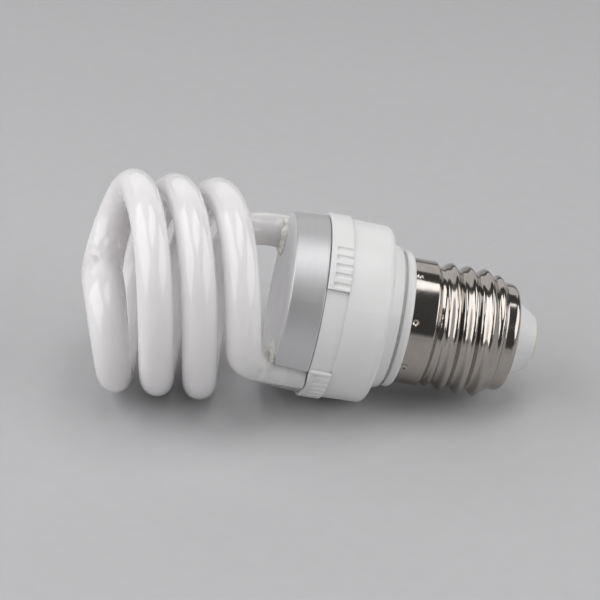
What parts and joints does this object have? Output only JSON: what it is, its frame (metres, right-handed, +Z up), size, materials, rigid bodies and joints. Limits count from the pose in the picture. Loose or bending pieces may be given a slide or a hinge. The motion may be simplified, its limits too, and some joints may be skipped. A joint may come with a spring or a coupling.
{
  "type": "spiral energy saving bulb",
  "caption": "Compact fluorescent bulb: a white double-spiral glass tube in a silver collar and a white housing, with a nickel screw cap.",
  "frame": {"origin": "on the table, under the middle of the lamp's bounding box as it lies on its side", "axes": "+X along the lying lamp from the glass tip towards the cap, +Z up, -Y towards the viewer"},
  "size_m": [0.0938, 0.0466, 0.0468],
  "materials": {
    "coated_glass": "gloss over an opaque white inner coating",
    "silicone": "satin",
    "silver_collar": "fine brushed satin",
    "white_plastic": "satin gloss",
    "nickel_plate": "bright nickel plating",
    "insulator_white": "satin",
    "contact_brass": "pressed, lightly dulled",
    "capacitor_sleeve": "shrink sleeve",
    "ferrite": "sintered, matte",
    "bobbin_plastic": "moulded",
    "enamelled_copper": "enamelled copper wire",
    "capacitor_red": "dipped resin",
    "black_resin": "moulded",
    "resistor_beige": "lacquered",
    "diode_blue": "lacquered",
    "resistor_green": "cement coating",
    "red_sleeve": "wire insulation",
    "black_sleeve": "wire insulation",
    "tinned_steel": "tinned",
    "board_laminate": "paper laminate"
  },
  "bodies": {
    "root": {"spiral_tube": "coated_glass", "leg_adhesive": "silicone", "holder_collar": "silver_collar", "base_housing": "white_plastic", "cap_shell": "nickel_plate", "cap_insulator": "insulator_white", "centre_contact": "contact_brass", "electrolytic_capacitor": "capacitor_sleeve", "choke_core": "ferrite", "choke_bobbin": "bobbin_plastic", "choke_winding": "enamelled_copper", "ring_core": "ferrite", "ring_windings": "enamelled_copper", "film_capacitor": "capacitor_red", "transistors": "black_resin", "rectifier_diodes": "black_resin", "resistors": "resistor_beige", "trigger_diode": "diode_blue", "fuse_resistor": "resistor_green", "live_lead": "red_sleeve", "neutral_lead": "black_sleeve", "wire_posts": "tinned_steel", "filament_leads": "tinned_steel", "circuit_board": "board_laminate"}
  },
  "joints": []
}
